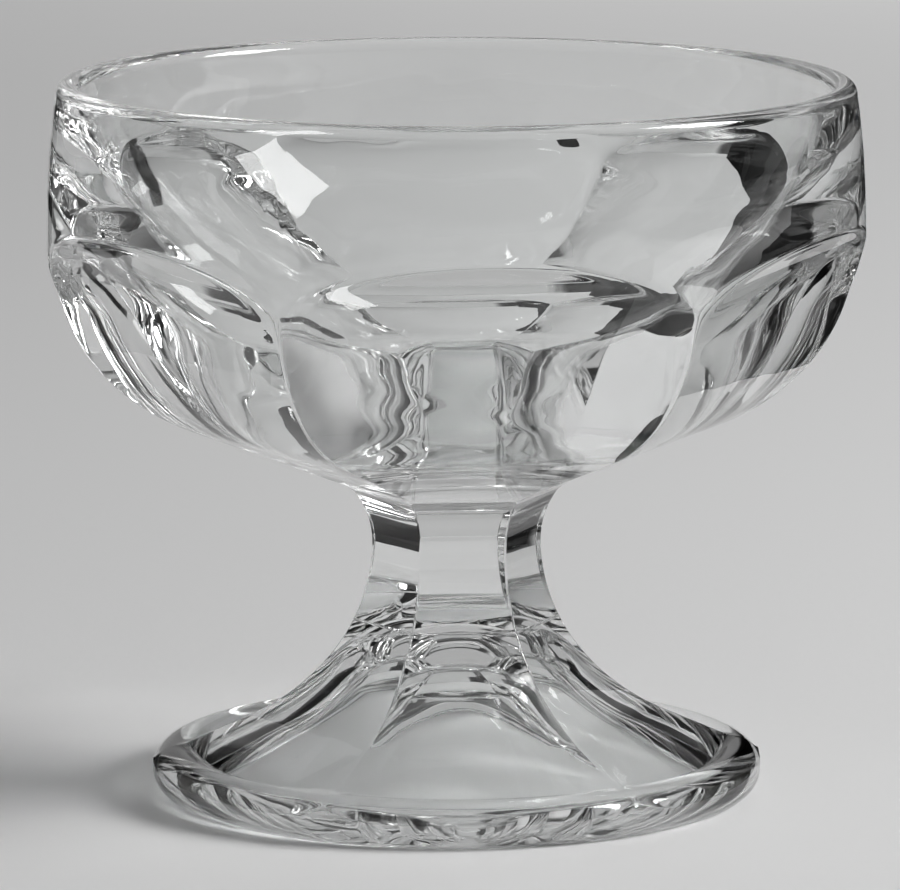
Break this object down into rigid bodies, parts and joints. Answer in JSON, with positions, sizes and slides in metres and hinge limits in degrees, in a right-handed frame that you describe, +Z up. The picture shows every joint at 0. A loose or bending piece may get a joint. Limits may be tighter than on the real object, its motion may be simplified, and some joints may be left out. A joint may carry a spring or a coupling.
{
  "type": "sherbet glass",
  "caption": "Footed dessert glass in clear pressed glass: smooth round band above arched flat panels, slim panelled stem and a beaded, panelled hollow foot.",
  "frame": {"origin": "centre of the foot on the table plane", "axes": "+Z up along the axis of the glass; -Y faces the middle of the front panel"},
  "size_m": [0.095, 0.095, 0.0835],
  "materials": {
    "bowl_glass": "clear, fire polished",
    "stem_glass": "clear, fire polished",
    "foot_glass": "clear, fire polished"
  },
  "bodies": {
    "root": {"bowl": "bowl_glass", "stem": "stem_glass", "foot": "foot_glass"}
  },
  "joints": []
}
